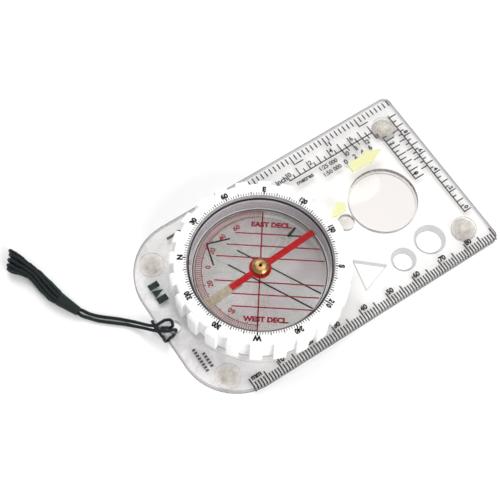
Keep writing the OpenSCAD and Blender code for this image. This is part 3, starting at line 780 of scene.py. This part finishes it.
class Print:
    """One layer of ink: thin closed prisms on a surface, in millimetres."""

    glyphs = {}
    capital_height = None

    def __init__(self, name, surface):
        self.name = name
        self.surface = surface if callable(surface) else (lambda x, y: surface)
        self.vertices = []
        self.faces = []

    def prism(self, outline):
        """A flat prism on a convex outline of (x, y) places."""
        base, count = len(self.vertices), len(outline)
        for lift in (0, INK_THICKNESS):
            self.vertices += [(x, y, self.surface(x, y) + lift) for x, y in outline]
        self.faces.append(tuple(base + i for i in reversed(range(count))))
        self.faces.append(tuple(base + count + i for i in range(count)))
        for i in range(count):
            after = (i + 1) % count
            self.faces.append((base + i, base + after, base + count + after, base + count + i))

    def bar(self, start, end, width):
        """A straight stroke from one (x, y) place to another."""
        start, end = Vector(start), Vector(end)
        aside = (end - start).normalized().orthogonal() * (width / 2)
        self.prism([tuple(p) for p in (start - aside, end - aside, end + aside, start + aside)])

    def arc(self, centre, radius, width, start, end, step=3):
        """A band along an arc, from one heading to another, in degrees."""
        count = max(1, math.ceil(abs(end - start) / step))
        inner, outer = radius - width / 2, radius + width / 2
        for i in range(count):
            a = math.radians(start + (end - start) * i / count)
            b = math.radians(start + (end - start) * (i + 1) / count)
            self.prism([
                (centre[0] + r * math.cos(t), centre[1] + r * math.sin(t))
                for r, t in ((inner, a), (outer, a), (outer, b), (inner, b))
            ])

    def text(self, words, place, height, turn=0.0, align=0.5, bold=0.03, stretch=1.0):
        """Lettering with capitals this high. The place is its middle, or its left end if align is 0."""
        vertices, faces, width = self.glyph(words, bold)
        angle = math.radians(turn)
        base = len(self.vertices)
        for x, y, top in vertices:
            across = (x - width * align) * height * stretch
            up = (y - 0.5) * height
            px = place[0] + across * math.cos(angle) - up * math.sin(angle)
            py = place[1] + across * math.sin(angle) + up * math.cos(angle)
            self.vertices.append((px, py, self.surface(px, py) + INK_THICKNESS * top))
        self.faces += [tuple(base + i for i in face) for face in faces]

    @classmethod
    def glyph(cls, words, bold):
        """Places and faces of the words, one unit high at a capital, and their width."""
        if (words, bold) not in cls.glyphs:
            if not cls.capital_height:
                cls.capital_height = max(v.y for v in cls.letter_shape("H", 0)[0])
            places, faces = cls.letter_shape(words, bold)
            left = min(v.x for v in places)
            places = [
                ((v.x - left) / cls.capital_height, v.y / cls.capital_height, 1 if v.z > 0 else 0)
                for v in places
            ]
            cls.glyphs[words, bold] = places, faces, max(p[0] for p in places)
        return cls.glyphs[words, bold]

    @staticmethod
    def letter_shape(words, bold):
        """Vertices and faces of the words as solid letters, in the font's own units."""
        font = bpy.data.curves.new("lettering", "FONT")
        font.body = words
        font.extrude = 0.1
        font.offset = bold
        font.resolution_u = 3
        lettering = bpy.data.objects.new("lettering", font)
        mesh = bpy.data.meshes.new_from_object(lettering)
        shape = bmesh.new()
        shape.from_mesh(mesh)
        bmesh.ops.remove_doubles(shape, verts=shape.verts, dist=1e-5)
        shape.verts.index_update()
        places = [vertex.co.copy() for vertex in shape.verts]
        faces = [tuple(vertex.index for vertex in face.verts) for face in shape.faces]
        shape.free()
        bpy.data.objects.remove(lettering)
        bpy.data.curves.remove(font)
        bpy.data.meshes.remove(mesh)
        return places, faces

    def finish(self, material, body, slot):
        """Makes the layer's mesh and settles it on its body."""
        piece = new_piece(self.name, self.vertices, self.faces, material)
        settle(piece, body)


UNDER_PLATE = PLATE_UNDERSIDE - INK_THICKNESS - 0.01
THIN_LINE = 0.38


def millimetre_ruler(layer):
    """Near edge: a tick to each millimetre, longer at fives and tens, and a number at each ten."""
    zero_x, edge_y, length = -38.35, -29.55, 90
    for n in range(length + 1):
        tip = -25.3 if n % 10 == 0 else -25.7 if n % 5 == 0 else -26.9
        layer.bar((zero_x + n, edge_y), (zero_x + n, tip), 0.44)
    layer.text("mm", (zero_x + 0.7, -25.4), 1.5, align=0, bold=0.06)
    for n in range(10, length, 10):
        layer.text(str(n), (zero_x + n + 0.4, -25.5), 1.5, align=0, bold=0.06)


def inch_ruler(layer):
    """Far edge: a tick to each sixteenth of an inch, with the inches and half inches marked."""
    front_x, edge_y, sixteenth, count = 51.55, 29.2, 1.5875, 34
    for k in range(count + 1):
        tip = 27.1
        if k % 8 == 0 and k:
            tip = 25.8
        layer.bar((front_x - sixteenth * k, edge_y), (front_x - sixteenth * k, tip), 0.42)
    for x in (13.75, 39.15):
        layer.bar((x, 26.0), (x + 3, 26.0), THIN_LINE)
    layer.text("1", (26.95, 26.1), 1.5, align=0, bold=0.06)
    layer.text("inch", (4.6, 23.5), 1.7, align=0)


def romer_scale(layer):
    """Map scale below the inch ruler: two scales back to back on one line."""
    left, right, base_y = 8.95, 41.05, 22.0
    layer.bar((left - 0.14, base_y), (right, base_y), THIN_LINE)
    for k in range(17):
        x = left + 2 * k
        layer.bar((x, base_y), (x, 24.8 if k % 2 == 0 else 23.4), THIN_LINE)
        if k % 4 == 0 and k < 16:
            layer.text(str(k // 4 * 2), (x + 0.4, 23.9), 1.5, align=0)
    for k in range(7):
        x = 29.05 + 2 * k
        layer.bar((x, base_y), (x, 19.4 if k % 2 == 0 else 20.6), THIN_LINE)
        if k % 2 == 0:
            layer.text(str(k // 2), (x + 0.3, 20.2), 1.5, align=0)
    for n, x in enumerate((27.7, 31.2, 34.2, 37.2)):
        layer.text(str(2 * n), (x, 18.0), 1.6)
    layer.text("metres", (10.2, 20.1), 1.5, align=0)
    layer.text("1:25 000", (19.2, 20.2), 1.35, align=0)
    layer.text("1:50 000", (19.2, 17.8), 1.35, align=0)


def front_scales(layer):
    """The two map scales across the plate's front."""
    outer_x, inner_x = 48.85, 42.75
    layer.bar((outer_x, -16.9), (outer_x, 24.3), THIN_LINE)
    for k in range(21):
        y = -16.6 + 2 * k
        layer.bar((outer_x, y), (51.4 if k % 2 == 0 else 50.2, y), THIN_LINE)
        if k % 4 == 0 and k < 20:
            layer.text(str(k // 4 * 2), (outer_x + 1.5, y + 1.0), 1.3, turn=-90, bold=0.05)
    for k in range(9):
        y = 2.8 + 1.9375 * k
        layer.bar((46.4 if k % 2 == 0 else 47.5, y), (outer_x, y), THIN_LINE)
    layer.bar((inner_x, 0.8), (inner_x, 18.8), THIN_LINE)
    for k in range(12):
        y = 1.0 + 1.5875 * k
        layer.bar((inner_x, y), (46.0 if k % 2 == 0 else 44.4, y), THIN_LINE)
    for k in range(3):
        layer.text(str(k), (inner_x + 1.4, 2.6 + 6.35 * k), 1.5, turn=-90)


def orienting_mark(layer):
    """A small arrow printed at the plate's rear corner."""
    layer.bar((-34.4, 26.1), (-30.6, 26.1), 0.9)
    layer.prism([(-30.4, 25.1), (-28.6, 26.1), (-30.4, 27.1)])


def make_plate_print():
    black = Print("plate_print_black", UNDER_PLATE)
    millimetre_ruler(black)
    inch_ruler(black)
    romer_scale(black)
    front_scales(black)
    black.finish(PLATE_INK, "plate", "pointer_black")

    green = Print("plate_print_green", UNDER_PLATE)
    green.prism([(-47.8, 9.0), (-44.4, 9.0), (-44.4, 11.1), (-47.8, 11.1)])
    green.prism([(-47.6, 11.3), (-44.2, 12.6), (-47.6, 13.9)])
    green.prism([(-47.8, 14.1), (-44.4, 14.1), (-44.4, 16.1), (-47.8, 16.1)])
    green.finish(GREEN_INK, "plate", "pointer_black")

    grey = Print("plate_print_grey", UNDER_PLATE)
    for x, low, high in ((-47.1, -16.7, -8.2), (-45.2, -16.2, -10.7)):
        dashes = round((high - low) / 1.1)
        for k in range(dashes):
            start = low + (high - low) * k / dashes
            grey.bar((x, start), (x, start + 0.75), 1.0)
    orienting_mark(grey)
    grey.finish(GREY_INK, "plate", "pointer_black")


def on_dial(radius, heading):
    """A place at this distance from the dial's axis, in the direction of a heading in the plate's plane."""
    angle = math.radians(heading)
    return DIAL_CENTRE.x + radius * math.cos(angle), DIAL_CENTRE.y + radius * math.sin(angle)


def beside(along, aside, heading):
    """A place so far along a heading from the dial's axis, and so far to its left."""
    x, y = on_dial(along, heading)
    angle = math.radians(heading + 90)
    return x + aside * math.cos(angle), y + aside * math.sin(angle)


def ring_surface(x, y):
    """Height of the dial ring's top, which slopes down outwards."""
    inner, slope = 22.6, 0.2 / 3
    radius = math.hypot(x - DIAL_CENTRE.x, y - DIAL_CENTRE.y)
    return RING_TOP - max(0, radius - inner) * slope + 0.003


def make_dial_print():
    """Degree scale: a tick to each two degrees and a label to each thirty, tops outward."""
    labels = ["N", "30", "60", "E", "120", "150", "S", "210", "240", "W", "300", "330"]
    inner, minor_end, major_end, label_radius = 22.24, 22.95, 23.3, 24.1
    layer = Print("dial_print", ring_surface)
    for degree in range(0, 360, 2):
        heading = NORTH_HEADING - degree
        end, width = (major_end, 0.3) if degree % 10 == 0 else (minor_end, 0.22)
        layer.bar(on_dial(inner, heading), on_dial(end, heading), width)
    for k, label in enumerate(labels):
        heading = NORTH_HEADING - 30 * k
        layer.bar(on_dial(inner, heading), on_dial(major_end, heading), 0.4)
        layer.text(label, on_dial(label_radius, heading), 1.5, turn=heading - 90,
                   bold=0.065, stretch=0.8 if len(label) == 3 else 1.0)
    layer.finish(PLATE_INK, "dial", "pointer_black")


def make_meridian_print():
    """Red lines, declination scale and its two legends on the capsule's floor disc."""
    layer = Print("meridian_print", MERIDIAN_TOP + 0.004)
    scale_inner, scale_outer = 17.7, 19.6
    # Each line's distance from the middle, and how far it runs to the south and to the north
    lines = [(4, 19.4, 13.6), (-4, 19.4, 13.6), (8, 18, 10.5), (-8, 18, 10.5), (12, 16, 8), (-12, 12, 8)]
    for aside, south, north in lines:
        layer.bar(beside(-south, aside, NORTH_HEADING), beside(north, aside, NORTH_HEADING), 0.4)
    layer.bar(beside(0, -scale_outer, NORTH_HEADING), beside(0, scale_outer, NORTH_HEADING), 0.42)
    for radius in (scale_inner, scale_outer):
        layer.arc(DIAL_CENTRE, radius, 0.2, NORTH_HEADING - 92, NORTH_HEADING + 92)
    for degree in range(-90, 91, 2):
        heading = NORTH_HEADING - degree
        reach = 17.0 if degree % 10 == 0 else scale_inner
        layer.bar(on_dial(reach, heading), on_dial(scale_outer, heading), 0.18)
    for degree in range(-60, 61, 20):
        heading = NORTH_HEADING - degree
        layer.text(str(abs(degree)), on_dial(15.7, heading), 1.5, turn=heading - 90, bold=0.03)
    layer.text("EAST DECL.", beside(-2.9, -15.2, NORTH_HEADING), 1.5, turn=NORTH_HEADING - 180, bold=0.06,
               stretch=1.1)
    layer.text("WEST DECL.", beside(-2.4, 15.8, NORTH_HEADING), 1.5, turn=NORTH_HEADING - 180, bold=0.06,
               stretch=1.1)
    layer.finish(RED_INK, "dial", "needle_red")

    # Round the floor disc's edge: a dark olive ring, which is painted shade where the edge shows dark, and
    # just outside it a white ring, which is a painted highlight
    rim = Print("floor_rim_painted_shade", MERIDIAN_TOP + 0.004)
    rim.arc(DIAL_CENTRE, 20.3, 0.34, 0, 360, step=4)
    rim.finish(RIM_PAINTED_SHADE, "dial", "seal_rubber")
    # White ring: a painted highlight along the floor disc's edge
    glint = Print("floor_rim_painted_highlight", MERIDIAN_TOP + 0.004)
    glint.arc(DIAL_CENTRE, 20.58, 0.18, 0, 360, step=4)
    glint.finish(MATERIALS["dial_white"], "dial", "dial_white")


def make_orienting_print():
    """Black orienting arrow: two lines under the capsule and a wide open head."""
    layer = Print("orienting_print", ORIENTING_TOP + 0.004)
    for aside in (2.75, -2.75):
        layer.bar(beside(9.5, aside, ORIENTING_HEADING), beside(-19.5, aside, ORIENTING_HEADING), 0.5)
    for aside in (5.1, -5.1):
        layer.bar(beside(18.5, 0, ORIENTING_HEADING), beside(13.2, aside, ORIENTING_HEADING), 0.55)
    layer.finish(PLATE_INK, "orienting", "pointer_black")


def make_pointer_print():
    """Black arrowhead at the tip of the clear clinometer pointer."""
    layer = Print("pointer_print", POINTER_TOP + 0.004)
    layer.bar((-4.5, 4.3), (-0.9, 5.6), 0.75)
    layer.bar((-4.3, 4.5), (-1.0, 2.1), 0.5)
    layer.finish(MATERIALS["pointer_black"], "clinometer", "pointer_black")


make_plate_print()
make_dial_print()
make_meridian_print()
make_orienting_print()
make_pointer_print()


# --- CAD pieces -------------------------------------------------------------------------------------

CLEAR_SLOTS = {"clear_acrylic", "lens_acrylic", "capsule_acrylic", "meridian_film", "orienting_acrylic"}
# Nodes whose look isn't the one that their record's slot is named for
OWN_LOOKS = {"clinometer_pointer": "pointer_film", "fill_plug": "plug_rubber", "index_stud": "stud_acrylic"}


def dress_cad_nodes():
    """Gives each CAD node its material. Clear ones cast no shadow, so that the light gets in."""
    for subpart in frame["record"]["subparts"]:
        name = subpart["node"]
        slot_name = subpart["material_slot"]
        if slot_name == "foot_rubber":
            look = gel_pad("foot_rubber_" + name, name)
        else:
            look = MATERIALS[OWN_LOOKS.get(name, slot_name)]
        for material_slot in frame["nodes"][name].material_slots:
            material_slot.material = look
        if slot_name in CLEAR_SLOTS or name == "clinometer_pointer":
            frame["nodes"][name].visible_shadow = False
            frame["nodes"][name].visible_diffuse = False


dress_cad_nodes()
